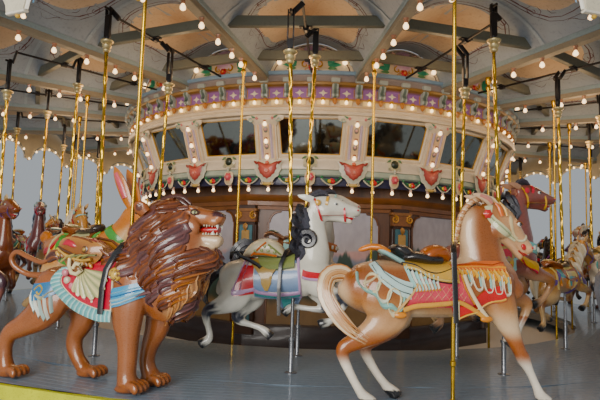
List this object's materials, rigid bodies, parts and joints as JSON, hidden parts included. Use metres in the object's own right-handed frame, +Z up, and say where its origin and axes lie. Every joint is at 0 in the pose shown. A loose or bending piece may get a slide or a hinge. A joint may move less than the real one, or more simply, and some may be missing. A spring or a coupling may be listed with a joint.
{
  "type": "fairground carousel",
  "caption": "Menagerie carousel: a turning platform with a ring of standing figures and two rings of jumpers on cranks, round a mirrored drum and a fixed centre house.",
  "frame": {"origin": "on the turning axis, at ground level", "axes": "+Z up; -Y towards the side with the lion and the palomino; figures face anticlockwise seen from above"},
  "size_m": [14.5912, 14.5912, 5.49],
  "materials": {
    "painted_timber": "satin paint",
    "landscape_panels": "painted landscape panels",
    "brown_woodwork": "varnished",
    "painted_ceiling": "painted panels",
    "black_iron": "black paint",
    "cream_paint": "satin paint",
    "purple_paint": "satin paint",
    "mirror_glass": "silvered",
    "deck_boards": "glossy deck paint",
    "yellow_paint": "satin paint",
    "brass": "polished",
    "steel": "worn",
    "palomino_paint": "gloss varnish",
    "lion_paint": "gloss varnish",
    "chestnut_paint": "gloss varnish",
    "white_paint": "gloss varnish",
    "rabbit_paint": "gloss varnish",
    "lamp_glass": "lit lamps"
  },
  "bodies": {
    "centre": {"centre_pole": "painted_timber", "house_walls": "landscape_panels", "house_frame": "brown_woodwork"},
    "turntable": {"sweep_frame": "painted_timber", "ceiling": "painted_ceiling", "tie_rods": "black_iron", "crank_set": "black_iron", "rounding_boards": "cream_paint", "cornice": "purple_paint", "mirrors": "mirror_glass", "lower_band": "cream_paint", "inner_deck": "deck_boards", "deck_edge": "yellow_paint", "underframe": "painted_timber", "outer_row_1": "chestnut_paint", "outer_row_2": "chestnut_paint", "outer_row_3": "chestnut_paint", "lion": "lion_paint", "outer_horse": "palomino_paint"},
    "jumpers_left_low": {"middle_jumper_1": "white_paint", "inner_jumper_3": "chestnut_paint", "middle_jumper_5": "white_paint", "inner_jumper_7": "chestnut_paint", "middle_jumper_9": "white_paint", "inner_jumper_11": "chestnut_paint", "middle_jumper_13": "white_paint", "inner_jumper_15": "chestnut_paint", "middle_jumper_17": "white_paint"},
    "jumpers_left_high": {"middle_jumper_2": "white_paint", "inner_jumper_4": "chestnut_paint", "middle_jumper_6": "white_paint", "inner_jumper_8": "chestnut_paint", "middle_jumper_10": "white_paint", "inner_jumper_12": "chestnut_paint", "middle_jumper_14": "white_paint", "inner_jumper_16": "chestnut_paint", "middle_jumper_18": "rabbit_paint"},
    "jumpers_right_high": {"inner_jumper_1": "chestnut_paint", "middle_jumper_3": "white_paint", "inner_jumper_5": "chestnut_paint", "middle_jumper_7": "white_paint", "inner_jumper_9": "chestnut_paint", "middle_jumper_11": "white_paint", "inner_jumper_13": "chestnut_paint", "middle_jumper_15": "white_paint", "inner_jumper_17": "chestnut_paint"},
    "jumpers_right_low": {"inner_jumper_2": "chestnut_paint", "middle_jumper_4": "white_paint", "inner_jumper_6": "chestnut_paint", "middle_jumper_8": "white_paint", "inner_jumper_10": "chestnut_paint", "middle_jumper_12": "white_paint", "inner_jumper_14": "chestnut_paint", "middle_jumper_16": "white_paint", "inner_jumper_18": "chestnut_paint"}
  },
  "joints": [
    {"name": "turntable_spin", "type": "hinge", "parent": "centre", "child": "turntable", "pos_m": [0, 0, 0], "axis": [0, 0, 1], "continuous": true},
    {"name": "jumpers_left_low_rise", "type": "slide", "parent": "turntable", "child": "jumpers_left_low", "axis": [0, 0, 1], "range_m": [-0.0435, 0.256]},
    {"name": "jumpers_left_high_rise", "type": "slide", "parent": "turntable", "child": "jumpers_left_high", "axis": [0, 0, 1], "range_m": [-0.256, 0.0435]},
    {"name": "jumpers_right_high_rise", "type": "slide", "parent": "turntable", "child": "jumpers_right_high", "axis": [0, 0, 1], "range_m": [-0.256, 0.0435]},
    {"name": "jumpers_right_low_rise", "type": "slide", "parent": "turntable", "child": "jumpers_right_low", "axis": [0, 0, 1], "range_m": [-0.0435, 0.256]}
  ]
}
